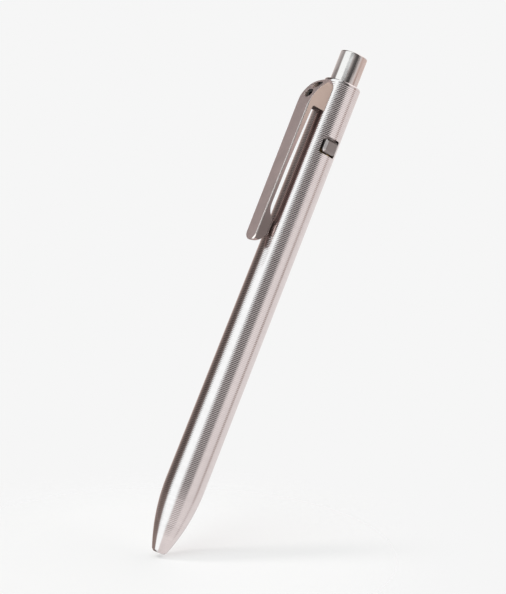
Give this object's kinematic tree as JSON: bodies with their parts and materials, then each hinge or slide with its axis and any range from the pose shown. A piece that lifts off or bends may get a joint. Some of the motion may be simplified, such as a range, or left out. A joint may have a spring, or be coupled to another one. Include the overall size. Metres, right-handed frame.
{
  "type": "side-click pen",
  "caption": "Retractable metal pen with a knob on top that brings the nib out, a side button that lets it back in, and a screwed-on pocket clip.",
  "frame": {"origin": "centre of the nose's flat end, where the nib comes out", "axes": "+Z along the pen from the nose to the knob, -Y towards the clip, +X towards the side button"},
  "size_m": [0.0115, 0.0165, 0.149],
  "materials": {
    "barrel_metal": "machined, with fine grooves all round",
    "clip_metal": "milled and finely brushed",
    "knob_metal": "turned smooth",
    "button_metal": "milled, with bright bevels",
    "screw_steel": "bright steel",
    "spring_steel": "drawn wire",
    "brass": "turned",
    "clear_plastic": "translucent",
    "white_plastic": "moulded",
    "ink": "liquid",
    "follower_grease": "soft gel",
    "seal_rubber": "smooth"
  },
  "bodies": {
    "barrel": {"front_barrel": "barrel_metal", "rear_barrel": "barrel_metal", "barrel_o_ring": "seal_rubber", "clip": "clip_metal", "clip_screw_upper": "screw_steel", "clip_screw_lower": "screw_steel", "latch_seat": "brass", "spacer_sleeve": "screw_steel", "plunger_bush": "brass", "lock_ring": "screw_steel", "return_spring": "spring_steel"},
    "plunger": {"click_knob": "knob_metal", "plunger_rod": "screw_steel", "plunger_foot": "brass"},
    "refill": {"refill_tube": "clear_plastic", "refill_tip": "screw_steel", "refill_tip_holder": "white_plastic", "refill_ball": "spring_steel", "refill_end_plug": "white_plastic", "ink_column": "ink", "ink_follower": "follower_grease"},
    "button": {"side_button": "button_metal", "latch_plate": "screw_steel", "button_pin": "screw_steel", "latch_spring": "spring_steel"}
  },
  "joints": [
    {"name": "knob_click", "type": "slide", "parent": "barrel", "child": "plunger", "axis": [0, 0, -1], "range_m": [0, 0.0045], "stiffness_N_per_m": 350, "springref_m": -0.005},
    {"name": "refill_slide", "type": "slide", "parent": "barrel", "child": "refill", "axis": [0, 0, -1], "range_m": [0, 0.0045], "deforming": ["return_spring"]},
    {"name": "side_button_press", "type": "slide", "parent": "barrel", "child": "button", "axis": [-1, 0, 0], "range_m": [-0.0005, 0.0008], "stiffness_N_per_m": 500}
  ],
  "couplings": [
    {"joint": "refill_slide", "follows": "knob_click", "ratio": 1}
  ]
}
